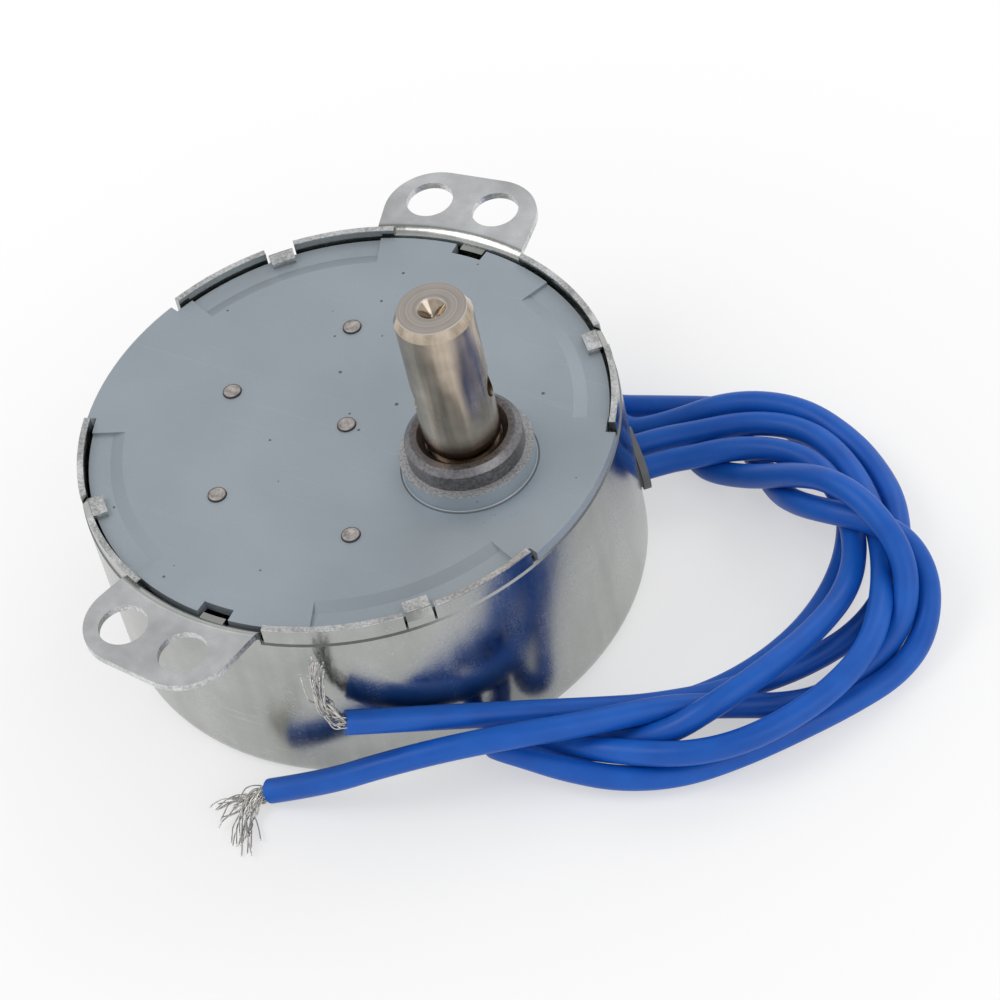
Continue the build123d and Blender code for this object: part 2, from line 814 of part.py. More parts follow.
def least_gap(path, diameter):
    """The least gap between a tube and a later stretch of itself, past the length of one tight turn."""
    steps = round(path.length / gap_step)
    points = [path.position_at(step / steps) for step in range(steps + 1)]
    apart = round(pi * diameter / gap_step)
    distances = [
        (late - early).length for place, early in enumerate(points) for late in points[place + apart :]
    ]
    return min(distances) - diameter


def lead_start(side):
    """Where a lead runs straight through the grommet: its inner end and the point where it first bends."""
    across = side * lead_spacing / 2
    return [
        tuple(grommet_plane.from_local_coords((across, 0, reach)))
        for reach in (overrun - lead_inside, overrun + sheet + lead_outside)
    ]


# Leads: each runs out of the can, along the hank and ends in bare strands
leads = ((1, 1, lead_1_route, strand_1_tips), (2, -1, lead_2_route, strand_2_tips))
for number, side, route, tips in leads:
    full_route = lead_start(side) + route
    with BuildPart() as lead_wire:
        path, area = run_tube(full_route, wire_diameter, wire_sides)
    write(lead_wire, f"lead_wire_{number}")
    volume_share = lead_wire.part.volume / (path.length * area)
    print(f"lead {number}: {path.length:.1f} long, volume share {volume_share:.4f}")
    print(f"  least gap to itself {least_gap(path, wire_diameter):.2f}")
    print("  bend radii", " ".join(f"{radius:.1f}" for radius in bend_radii(full_route)))
    last, end = Vector(*route[-2]), Vector(*route[-1])
    neck = end + (end - last).normalized() * strand_neck
    with BuildPart() as lead_strands:
        for tip in tips:
            run_tube([tuple(end), tuple(neck), tip], strand_bundle, strand_sides)
    write(lead_strands, f"lead_strands_{number}")
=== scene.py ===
import json

import bpy
import numpy as np
from mathutils import Matrix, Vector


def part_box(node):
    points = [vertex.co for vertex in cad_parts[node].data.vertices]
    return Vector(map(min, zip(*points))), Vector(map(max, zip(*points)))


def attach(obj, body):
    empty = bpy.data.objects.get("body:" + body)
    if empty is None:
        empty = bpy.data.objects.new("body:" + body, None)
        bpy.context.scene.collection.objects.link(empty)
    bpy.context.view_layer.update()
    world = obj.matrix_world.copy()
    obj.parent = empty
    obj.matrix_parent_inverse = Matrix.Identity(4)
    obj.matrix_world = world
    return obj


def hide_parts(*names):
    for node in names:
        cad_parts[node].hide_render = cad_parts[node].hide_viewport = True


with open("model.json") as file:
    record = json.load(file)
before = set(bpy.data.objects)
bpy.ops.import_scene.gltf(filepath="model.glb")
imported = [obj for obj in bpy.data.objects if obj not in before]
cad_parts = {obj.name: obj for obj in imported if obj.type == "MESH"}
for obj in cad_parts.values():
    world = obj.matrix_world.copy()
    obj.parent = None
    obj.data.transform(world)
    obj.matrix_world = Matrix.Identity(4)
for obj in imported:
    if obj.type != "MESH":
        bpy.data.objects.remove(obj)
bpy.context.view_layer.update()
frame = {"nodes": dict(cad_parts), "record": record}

nodes = frame["nodes"]
mm = 0.001
print("frame loaded:", len(nodes), "pieces")


# Shader helpers: a node with its values set, and a link between two sockets
def addNode(tree, kind, **values):
    node = tree.nodes.new(kind)
    for name, value in values.items():
        if hasattr(node, name):
            setattr(node, name, value)
        else:
            node.inputs[name.replace("_", " ")].default_value = value
    return node


def link(tree, source, target):
    tree.links.new(source, target)


def newGroup(name, inputs, outputs):
    group = bpy.data.node_groups.new(name, "ShaderNodeTree")
    for label, kind, default in inputs:
        socket = group.interface.new_socket(label, in_out="INPUT", socket_type=kind)
        socket.default_value = default
    for label in outputs:
        group.interface.new_socket(label, in_out="OUTPUT", socket_type="NodeSocketFloat")
    return group, addNode(group, "NodeGroupInput"), addNode(group, "NodeGroupOutput")


# A socket takes a plain number, a colour or a link
def feed(tree, socket, value):
    if isinstance(value, (int, float)):
        socket.default_value = value
    elif isinstance(value, (tuple, list)):
        socket.default_value = (*value, 1)
    else:
        link(tree, value, socket)


def mathNode(tree, operation, *values):
    node = addNode(tree, "ShaderNodeMath", operation=operation)
    for number, value in enumerate(values):
        feed(tree, node.inputs[number], value)
    return node.outputs[0]


def plus(tree, first, second):
    return mathNode(tree, "ADD", first, second)


def times(tree, first, second):
    return mathNode(tree, "MULTIPLY", first, second)


def larger(tree, first, second):
    return mathNode(tree, "MAXIMUM", first, second)


# Two patterns added up: the first by its share, the second by the rest
def weigh(tree, first, second, share):
    return plus(tree, times(tree, first, share), times(tree, second, 1 - share))


def mixColour(tree, factor, first, second):
    node = addNode(tree, "ShaderNodeMix", data_type="RGBA")
    feed(tree, node.inputs[0], factor)
    feed(tree, node.inputs[6], first)
    feed(tree, node.inputs[7], second)
    return node.outputs[2]


def rangeNode(tree, value, fromLow, fromHigh, toLow, toHigh):
    node = addNode(tree, "ShaderNodeMapRange")
    for number, limit in enumerate((fromLow, fromHigh, toLow, toHigh), 1):
        node.inputs[number].default_value = limit
    link(tree, value, node.inputs[0])
    return node.outputs[0]


# Two tones mixed by a pattern, which is all dark at its low limit and all light at its high one
def tones(tree, value, limits, dark, light):
    return mixColour(tree, rangeNode(tree, value, *limits, 0, 1), dark, light)


# Masks: one above an edge, one below an edge, and one between two edges, each with a soft step
def above(tree, value, edge, soft):
    return rangeNode(tree, value, edge - soft, edge, 0, 1)


def below(tree, value, edge, soft):
    return rangeNode(tree, value, edge - soft, edge, 1, 0)


def band(tree, value, low, high, soft):
    return times(tree, above(tree, value, low, soft), below(tree, value, high + soft, soft))


# Camera: fitted to the photograph, its place and axes in the motor's own frame
camera = {
    "placeMm": (162.561, -184.646, 268.767),
    "right": (0.868227, 0.468355, -0.163787),
    "up": (-0.255253, 0.704691, 0.662009),
    "forward": (-0.425475, 0.532966, -0.731381),
    "lensMm": 139.03,
    "sensorMm": 36.0,
    "clipMm": (10.0, 10000.0),
}


def placeCamera():
    data = bpy.data.cameras.new("camera")
    data.lens = camera["lensMm"]
    data.sensor_width = camera["sensorMm"]
    data.clip_start, data.clip_end = (distance * mm for distance in camera["clipMm"])
    shown = bpy.data.objects.new("camera", data)
    bpy.context.scene.collection.objects.link(shown)
    right, up, forward = (np.array(camera[axis]) for axis in ("right", "up", "forward"))
    matrix = Matrix(np.column_stack((right, up, -forward)).tolist()).to_4x4()
    matrix.translation = np.array(camera["placeMm"]) * mm
    shown.matrix_world = matrix
    bpy.context.scene.camera = shown


placeCamera()
print("camera placed")

# Leads: the routes of the two leads in millimetres, from inside the can to the free end
leads = {
    "diameterMm": 2.3,
    "lengthsMm": (273.0, 254.0),
    "exitsMm": ((17.64, 18.81, 4.0), (19.7, 16.63, 4.0)),
    "stepsAlong": 10,
    "stepsRound": 6,
    "routesMm": (
        [
            (15.36, 16.65, 4.0), (18.99, 20.09, 4.0), (21.91, 22.19, 3.83), (26.3, 24.91, 4.2),
            (30.96, 25.87, 4.39), (35.37, 24.54, 4.68), (40.32, 20.91, 4.67), (44.83, 15.32, 4.64),
            (47.66, 9.19, 5.01), (49.04, 3.55, 5.15), (47.95, -1.89, 5.06), (45.49, -6.7, 4.88),
            (42.24, -10.57, 4.69), (38.26, -13.03, 4.48), (33.39, -14.2, 4.03),
            (28.51, -14.55, 3.09), (24.83, -14.65, 2.06), (22.32, -15.06, 1.62),
            (21.17, -16.03, 2.04), (21.32, -17.09, 2.94), (22.52, -17.58, 3.56),
            (24.87, -17.45, 3.47), (28.56, -17.02, 2.8), (33.29, -15.79, 1.99),
            (37.99, -13.2, 1.6), (41.92, -9.38, 1.66), (45.41, -5.01, 1.71), (48.59, -0.43, 1.63),
            (51.05, 4.06, 1.52), (51.83, 8.53, 2.12), (50.56, 12.93, 4.19), (47.61, 15.22, 6.27),
            (43.67, 15.36, 7.35), (39.56, 15.26, 7.02), (35.75, 16.44, 5.34), (32.49, 18.77, 3.22),
            (29.77, 21.49, 1.74), (27.43, 23.72, 1.19), (25.47, 24.94, 1.2), (23.87, 25.11, 1.33),
            (22.65, 24.47, 1.4), (21.92, 23.41, 1.36), (21.86, 22.27, 1.23), (22.59, 21.25, 1.17),
            (24.29, 20.37, 1.53), (27.05, 19.46, 2.78), (30.88, 18.53, 4.95), (35.11, 17.84, 7.66),
            (39.48, 16.77, 9.72), (44.32, 15.02, 9.77), (48.67, 12.52, 7.19), (50.02, 8.71, 3.65),
            (48.46, 4.11, 1.43), (46.1, -0.04, 1.05), (43.45, -3.08, 2.02), (39.7, -5.74, 3.53),
            (35.19, -8.7, 4.82), (31.65, -11.99, 5.63), (28.42, -15.12, 6.46),
            (24.37, -18.3, 7.07), (19.51, -21.54, 6.9), (14.41, -24.44, 5.72), (9.4, -26.74, 3.63),
            (3.9, -28.0, 1.4),
        ],
        [
            (17.43, 14.47, 4.0), (21.05, 17.91, 4.0), (23.13, 19.13, 4.12), (26.81, 21.11, 4.75),
            (31.15, 22.15, 5.11), (35.12, 21.55, 5.47), (39.05, 18.93, 5.3), (42.57, 14.59, 4.76),
            (44.37, 9.01, 4.97), (43.84, 2.52, 5.81), (41.97, -3.55, 6.56), (39.44, -8.18, 6.29),
            (36.46, -11.08, 4.66), (33.0, -11.99, 2.97), (29.91, -12.11, 1.95),
            (27.81, -12.22, 1.43), (26.57, -12.14, 1.23), (25.89, -11.57, 1.2),
            (25.66, -10.65, 1.23), (26.0, -9.74, 1.26), (27.1, -9.1, 1.26), (29.06, -8.51, 1.24),
            (31.68, -7.4, 1.21), (34.62, -5.23, 1.2), (37.44, -1.97, 1.2), (39.71, 2.13, 1.22),
            (41.1, 6.76, 1.22), (41.36, 11.75, 1.22), (40.36, 16.91, 1.24), (37.95, 21.91, 1.31),
            (34.01, 26.04, 1.43), (28.65, 28.27, 1.53), (22.35, 28.09, 1.51), (16.08, 26.21, 1.29),
            (11.22, 24.7, 1.14), (8.49, 24.9, 1.28), (7.22, 26.1, 1.66), (6.59, 27.29, 2.37),
            (6.3, 27.94, 3.44), (6.53, 27.91, 4.63), (7.57, 27.17, 5.29), (9.45, 25.65, 4.76),
            (11.84, 23.54, 3.03), (14.32, 22.01, 1.43), (18.03, 23.67, 2.14), (23.79, 27.23, 3.97),
            (30.47, 28.42, 4.24), (36.3, 26.77, 3.47), (40.45, 23.99, 3.23), (43.65, 20.68, 3.42),
            (46.31, 15.35, 2.74), (46.67, 8.13, 2.01), (43.03, 1.0, 2.32), (37.42, -4.76, 2.85),
            (32.88, -8.24, 3.35), (29.68, -10.32, 3.94), (26.48, -12.53, 4.82),
            (22.86, -15.28, 6.09), (19.05, -18.41, 7.63), (15.35, -21.51, 9.18),
            (11.8, -24.4, 10.6),
        ],
    ),
}


# The point radius carries the wire's thickness, so the curve's own box is true to size
def leadCurve(number, route):
    curve = bpy.data.curves.new(f"lead_{number}", "CURVE")
    curve.dimensions = "3D"
    curve.resolution_u = leads["stepsAlong"]
    curve.bevel_depth = 1.0
    curve.bevel_resolution = leads["stepsRound"]
    curve.use_fill_caps = True
    spline = curve.splines.new("NURBS")
    spline.points.add(len(route) - 1)
    points = np.column_stack((np.array(route) * mm, np.ones(len(route))))
    spline.points.foreach_set("co", points.ravel())
    spline.points.foreach_set("radius", np.full(len(route), leads["diameterMm"] / 2 * mm))
    spline.order_u = 3
    spline.use_endpoint_u = True
    shown = bpy.data.objects.new(f"lead_{number}", curve)
    bpy.context.scene.collection.objects.link(shown)
    return shown


leadPieces = [leadCurve(number, route) for number, route in enumerate(leads["routesMm"], 1)]
print("leads laid:", len(leadPieces))

# Bare strands: fine tinned wires that leave the cut end loosely twisted and splay towards their tips
strands = {
    "wireMm": 0.125,
    "sides": 6,
    "steps": 48,
    "coreMm": 0.66,
    "rootMm": 0.8,  # start of the wires inside the insulation
    "wallMm": 25.2,  # the wires stay outside this radius, clear of the can
    "reachShares": (0.72, 1.02),  # shortest and longest wire, as shares of the way to the tip
    "splayFlat": (1, 1, 0.5),
    "headingShare": 0.42,  # share of the reach on which a wire keeps the lead's own heading
    "waveAngles": (4, 9),
    "kinkPower": 0.8,
    "tipKink": 0.35,
    "hookStarts": (0.55, 0.95),
    "hookRun": 0.3,
    "tubeAside": (0.31, 0.17, 0.93),  # a direction that no wire runs along
    "ends": (
        {
            "tipsMm": ((-0.4, -32.2, 0.7), (3.4, -34.2, 0.6)),
            "wires": 38, "splayMm": 0.42, "kinkMm": 0.42, "twistTurns": 0.8, "hookMm": 1.1, "seed": 9,
        },
        {
            "tipsMm": ((9.9, -24.6, 18.2),),
            "wires": 30, "splayMm": 0.5, "kinkMm": 0.42, "twistTurns": 0.6, "hookMm": 0.3, "seed": 4,
        },
    ),
}


# A tube: at each step of a path, a ring of points at the tube's radius on two normals of the path
def tubesAlong(paths, radius, sides):
    ahead = np.gradient(paths, axis=1)
    ahead /= np.linalg.norm(ahead, axis=2, keepdims=True)
    side = np.cross(ahead, np.array(strands["tubeAside"]))
    side /= np.linalg.norm(side, axis=2, keepdims=True)
    top = np.cross(ahead, side)
    turn = np.linspace(0, 2 * np.pi, sides, endpoint=False)
    ring = side[:, :, None] * np.cos(turn)[:, None] + top[:, :, None] * np.sin(turn)[:, None]
    return paths[:, :, None] + radius * ring


# Walls join each ring to the next one, and a cap closes each end of a tube
def gridMesh(name, rings):
    count, steps, sides = rings.shape[:3]
    index = np.arange(count * steps * sides).reshape(count, steps, sides)
    nextSide = np.roll(index, -1, axis=2)
    walls = np.stack((index[:, :-1], nextSide[:, :-1], nextSide[:, 1:], index[:, 1:]), axis=-1)
    caps = np.concatenate((index[:, 0, ::-1], index[:, -1]))
    mesh = bpy.data.meshes.new(name)
    mesh.from_pydata(rings.reshape(-1, 3), [], walls.reshape(-1, 4).tolist() + caps.tolist())
    mesh.polygons.foreach_set("use_smooth", np.ones(len(mesh.polygons), dtype=bool))
    mesh.update()
    shown = bpy.data.objects.new(name, mesh)
    bpy.context.scene.collection.objects.link(shown)
    return shown


# A wire runs on a quadratic curve from the cut end to its own tip. Round that line it keeps its place in
# the bundle, turned by the twist, bends in a slow wave each way and curls back at its tip
def strandEnd(number, route, end):
    random = np.random.default_rng(end["seed"])
    last, start = np.array(route[-2]), np.array(route[-1])
    heading = (start - last) / np.linalg.norm(start - last)
    side = np.cross(heading, (0.0, 0.0, 1.0))
    side /= np.linalg.norm(side)
    top = np.cross(side, heading)
    wires = end["wires"]
    along = np.linspace(0, 1, strands["steps"])[None]
    root = start - heading * strands["rootMm"]
    tips = np.array(end["tipsMm"])[np.arange(wires) % len(end["tipsMm"])]
    goal = root + (tips - root) * random.uniform(*strands["reachShares"], wires)[:, None]
    goal = goal + random.normal(0, end["splayMm"], (wires, 3)) * strands["splayFlat"]
    reach = np.linalg.norm(goal - root, axis=1)
    first = root + heading * reach[:, None] * strands["headingShare"]
    share = along[:, :, None]
    line = (1 - share) ** 2 * root + 2 * share * (1 - share) * first[:, None] + share**2 * goal[:, None]
    angle = random.uniform(0, 2 * np.pi, wires)[:, None] + 2 * np.pi * end["twistTurns"] * along
    spread = strands["coreMm"] * np.sqrt(random.uniform(0, 1, wires))[:, None]
    waveStarts = random.uniform(0, 2 * np.pi, (4, wires, 1))  # the first two rows are used
    waveAngles = random.uniform(*strands["waveAngles"], (2, wires, 1))
    kink = end["kinkMm"] * np.sin(np.pi * along ** strands["kinkPower"])
    kink = kink + strands["tipKink"] * end["kinkMm"] * along
    hookStarts = random.uniform(*strands["hookStarts"], wires)[:, None]
    hook = end["hookMm"] * np.maximum(0, along - hookStarts) / strands["hookRun"]
    across = spread * np.cos(angle) + kink * np.sin(waveStarts[0] + waveAngles[0] * along)
    upward = spread * np.sin(angle) + kink * np.sin(waveStarts[1] + waveAngles[1] * along)
    paths = line + across[:, :, None] * side + upward[:, :, None] * top - hook[:, :, None] * heading
    paths[:, :, 2] = np.maximum(paths[:, :, 2], strands["wireMm"])
    outwards = np.linalg.norm(paths[:, :, :2], axis=2, keepdims=True)
    paths[:, :, :2] *= np.maximum(outwards, strands["wallMm"]) / outwards
    rings = tubesAlong(paths, strands["wireMm"] / 2, strands["sides"])
    return gridMesh(f"strands_{number}", rings * mm)


strandPieces = [
    strandEnd(number, route, end)
    for number, (route, end) in enumerate(zip(leads["routesMm"], strands["ends"]), 1)
]
print("strands made:", len(strandPieces))

for number, (lead, bare) in enumerate(zip(leadPieces, strandPieces), 1):
    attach(lead, "housing")
    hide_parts(f"lead_wire_{number}")
    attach(bare, "housing")
    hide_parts(f"lead_strands_{number}")


# Place on the motor: distance from an axis and height in millimetres, and how level the face lies
def makeRingPlace():
    group, inside, outside = newGroup(
        "ringPlace", [("Centre", "NodeSocketVector", (0, 0, 0))], ("Radius", "Height", "Level"),
    )
    where = addNode(group, "ShaderNodeTexCoord")
    offset = addNode(group, "ShaderNodeVectorMath", operation="SUBTRACT")
    link(group, where.outputs["Object"], offset.inputs[0])
    link(group, inside.outputs["Centre"], offset.inputs[1])
    scaled = addNode(group, "ShaderNodeVectorMath", operation="SCALE", Scale=1 / mm)
    link(group, offset.outputs[0], scaled.inputs[0])
    parts = addNode(group, "ShaderNodeSeparateXYZ")
    link(group, scaled.outputs[0], parts.inputs[0])
    squares = [mathNode(group, "POWER", parts.outputs[axis], 2.0) for axis in (0, 1)]
    radius = mathNode(group, "SQRT", plus(group, *squares))
    facing = addNode(group, "ShaderNodeSeparateXYZ")
    link(group, where.outputs["Normal"], facing.inputs[0])
    link(group, radius, outside.inputs["Radius"])
    link(group, parts.outputs[2], outside.inputs["Height"])
    link(group, mathNode(group, "ABSOLUTE", facing.outputs[2]), outside.inputs["Level"])
    return group


# Grain: slow and fine noise, and streaks that run along the motor's axis
grainShape = {"slowDetail": 4.0, "fineDetail": 2.0, "streakDetail": 4.0, "streakPull": (1.0, 1.0, 0.07)}


def makeGrain():
    scales = [("Slow", 160.0), ("Fine", 2500.0), ("Streak", 500.0)]
    inputs = [(label, "NodeSocketFloat", scale) for label, scale in scales]
    group, inside, outside = newGroup("sheetGrain", inputs, [label for label, scale in scales])
    where = addNode(group, "ShaderNodeTexCoord").outputs["Object"]
    drawn = addNode(group, "ShaderNodeMapping", Scale=grainShape["streakPull"])
    link(group, where, drawn.inputs["Vector"])
    noises = (
        ("Slow", grainShape["slowDetail"], where),
        ("Fine", grainShape["fineDetail"], where),
        ("Streak", grainShape["streakDetail"], drawn.outputs[0]),
    )
    for label, detail, source in noises:
        noise = addNode(group, "ShaderNodeTexNoise", Detail=detail)
        link(group, source, noise.inputs["Vector"])
        link(group, inside.outputs[label], noise.inputs["Scale"])
        link(group, noise.outputs["Fac"], outside.inputs[label])
    return group


# Marks: round specks in some cells of a Voronoi pattern, and thin scratches from noise pulled out in line
markShape = {
    "fewAbove": 0.5,
    "lineTilt": (0.2, 0.1),
    "lines": ({"turn": 0.5, "along": 55.0, "across": 5200.0}, {"turn": 2.1, "along": 70.0, "across": 4600.0}),
    "lineDetail": 1.0,
    "lineLimits": (0.70, 0.76),
}


def makeMarks():
    inputs = [("Cells", "NodeSocketFloat", 420.0), ("Size", "NodeSocketFloat", 0.07)]
    group, inside, outside = newGroup("handlingMarks", inputs, ("Specks", "Scratches"))
    where = addNode(group, "ShaderNodeTexCoord").outputs["Object"]
    cells = addNode(group, "ShaderNodeTexVoronoi")
    link(group, where, cells.inputs["Vector"])
    link(group, inside.outputs["Cells"], cells.inputs["Scale"])
    pick = addNode(group, "ShaderNodeSeparateColor")
    link(group, cells.outputs["Color"], pick.inputs[0])
    reach = times(group, pick.outputs[1], inside.outputs["Size"])
    near = mathNode(group, "LESS_THAN", cells.outputs["Distance"], reach)
    few = mathNode(group, "GREATER_THAN", pick.outputs[0], markShape["fewAbove"])
    link(group, times(group, near, few), outside.inputs["Specks"])
    masks = []
    for line in markShape["lines"]:
        pulled = addNode(
            group,
            "ShaderNodeMapping",
            Rotation=(*markShape["lineTilt"], line["turn"]),
            Scale=(line["along"], line["across"], line["across"]),
        )
        link(group, where, pulled.inputs["Vector"])
        noise = addNode(group, "ShaderNodeTexNoise", Scale=1.0, Detail=markShape["lineDetail"])
        link(group, pulled.outputs[0], noise.inputs["Vector"])
        masks.append(rangeNode(group, noise.outputs["Fac"], *markShape["lineLimits"], 0, 1))
    link(group, larger(group, *masks), outside.inputs["Scratches"])
    return group


ringPlaceGroup = makeRingPlace()
grainGroup = makeGrain()
marksGroup = makeMarks()
print("shared effects made")


def startMaterial(name, **constants):
    material = bpy.data.materials.new(name)
    material.use_nodes = True
    shader = material.node_tree.nodes["Principled BSDF"]
    for label, value in constants.items():
        shader.inputs[label.replace("_", " ")].default_value = value
    return material, material.node_tree, shader


def useGroup(tree, group, **values):
    return addNode(tree, "ShaderNodeGroup", node_tree=group, **values).outputs


# Height of a surface that is finely grained, and more so where it is torn
def raggedHeight(tree, torn, fine, look):
    return times(tree, plus(tree, times(tree, torn, look["tornBump"]), look["fineBump"]), fine)


def bumpFrom(tree, shader, height, look):
    bump = addNode(tree, "ShaderNodeBump", Strength=look["bump"], Distance=look["bumpMm"] * mm)
    link(tree, height, bump.inputs["Height"])
    link(tree, bump.outputs[0], shader.inputs["Normal"])


# Zinc-plated can: mottled drawn wall, a painted lighter tone on the ears for the light on their tops, bright
# torn metal on sheared edges, lip tops and staked tabs, and painted shade as a dark band on the bevel under
# the lips
canLook = {
    "dark": (0.335, 0.345, 0.33), "light": (0.50, 0.508, 0.49), "toneLimits": (0.30, 0.70),
    "slow": 170.0, "fine": 3800.0, "streak": 420.0, "slowShare": 0.55,
    "scratch": (0.62, 0.62, 0.60), "scratchShare": 0.45,
    "earLitDark": (0.57, 0.585, 0.59), "earLitLight": (0.78, 0.80, 0.815), "earLimits": (0.36, 0.64),
    "earInsideMm": 25.4, "earSoftMm": 0.1, "edgeLevels": (0.3, 0.45),
    "underLipShade": (0.10, 0.105, 0.115), "underLipShadeShare": 0.7, "underLipShadeMm": (18.56, 18.85), "underLipShadeLevels": (0.45, 0.6),
    "torn": (0.80, 0.81, 0.82), "tornDark": (0.43, 0.432, 0.43), "tornLimits": (0.38, 0.62),
    "tornFineShare": 0.5, "lipTopMm": 20.42, "lipSoftMm": 0.04,
    "tabInsideMm": 24.25, "tabFootMm": 19.9, "softMm": 0.05,
    "rough": (0.14, 0.30), "roughLimits": (0.35, 0.65), "tornRough": 0.16,
    "fineRough": (-0.02, 0.04), "fineLimits": (0.4, 0.7),
    "bump": 0.35, "bumpMm": 0.03, "tornBump": 1.5, "fineBump": 0.38, "slowBump": 2.0,
}


def canFinish(name, look):
    material, tree, shader = startMaterial(name, Metallic=1.0)
    grain = useGroup(tree, grainGroup, Slow=look["slow"], Fine=look["fine"], Streak=look["streak"])
    marks = useGroup(tree, marksGroup)
    ring = useGroup(tree, ringPlaceGroup)
    mottle = weigh(tree, grain["Slow"], grain["Streak"], look["slowShare"])
    shade = tones(tree, mottle, look["toneLimits"], look["dark"], look["light"])
    shade = mixColour(tree, times(tree, marks["Scratches"], look["scratchShare"]), shade, look["scratch"])
    ear = above(tree, ring["Radius"], look["earInsideMm"], look["earSoftMm"])
    # Painted light: the ears take a lighter copy of the zinc tones, standing in for the brighter light on
    # their flat tops
    earLitTone = tones(tree, mottle, look["earLimits"], look["earLitDark"], look["earLitLight"])
    shade = mixColour(tree, ear, shade, earLitTone)
    # Painted shade: a dark band on the sloping bevel just under the lips
    sloping = rangeNode(tree, ring["Level"], *look["underLipShadeLevels"], 0, look["underLipShadeShare"])
    underLipShade = times(tree, band(tree, ring["Height"], *look["underLipShadeMm"], look["softMm"]), sloping)
    shade = mixColour(tree, underLipShade, shade, look["underLipShade"])
    lipTop = above(tree, ring["Height"], look["lipTopMm"], look["lipSoftMm"])
    earEdge = times(tree, rangeNode(tree, ring["Level"], *look["edgeLevels"], 1, 0), ear)
    tabTop = above(tree, ring["Height"], look["tabFootMm"], look["softMm"])
    tab = times(tree, tabTop, below(tree, ring["Radius"], look["tabInsideMm"], look["softMm"]))
    torn = larger(tree, larger(tree, lipTop, earEdge), tab)
    tear = weigh(tree, grain["Fine"], grain["Streak"], look["tornFineShare"])
    rag = tones(tree, tear, look["tornLimits"], look["tornDark"], look["torn"])
    link(tree, mixColour(tree, torn, shade, rag), shader.inputs["Base Color"])
    rough = rangeNode(tree, mottle, *look["roughLimits"], *look["rough"])
    rough = plus(tree, rough, rangeNode(tree, grain["Fine"], *look["fineLimits"], *look["fineRough"]))
    rough = plus(tree, rough, times(tree, torn, look["tornRough"]))
    link(tree, rough, shader.inputs["Roughness"])
    ragged = raggedHeight(tree, torn, grain["Fine"], look)
    bumpFrom(tree, shader, plus(tree, ragged, times(tree, grain["Slow"], look["slowBump"])), look)
    return material


# Satin grey-blue cover: fine grain, small dark specks, light scratches, painted shade on the slopes of the
# coined pockets, patches of grime, painted shade as a dark ring at the foot of the collar, and a torn collar
# top
coverLook = {
    "metallic": 0.55,
    "dark": (0.345, 0.393, 0.436), "light": (0.370, 0.420, 0.464), "toneLimits": (0.35, 0.65),
    "slow": 90.0, "fine": 5200.0, "fineLimits": (0.5, 0.75), "fineShare": 0.22,
    "darkMarkAndShade": (0.07, 0.07, 0.07), "speckCells": 520.0, "speckSize": 0.1, "speckShare": 0.8,
    "scratch": (0.46, 0.49, 0.52), "scratchShare": 0.3,
    "slope": (0.27, 0.31, 0.345), "slopeLevels": (0.94, 0.985), "slopeSoft": 0.008, "slopeShadeShare": 0.58,
    "grimeScale": 1300.0, "grimeDetail": 4.0, "grimeLimits": (0.60, 0.70), "grimeShare": 0.7,
    "grimeMm": (6.1, 7.0), "grimeSoftMm": 1.6, "patchLimits": (0.50, 0.58), "patchShares": (0.05, 1),
    "footMm": (6.05, 6.3), "footTopMm": 19.86, "footShadeShare": 0.8,
    "torn": (0.50, 0.505, 0.52), "tornDark": (0.27, 0.27, 0.28), "tornLimits": (0.34, 0.62),
    "collarMm": (5.3, 6.2), "collarTopMm": 21.6, "softMm": 0.05,
    "rough": (0.40, 0.52), "roughLimits": (0.3, 0.7),
    "bump": 0.25, "bumpMm": 0.03, "tornBump": 2.0, "fineBump": 0.4,
}


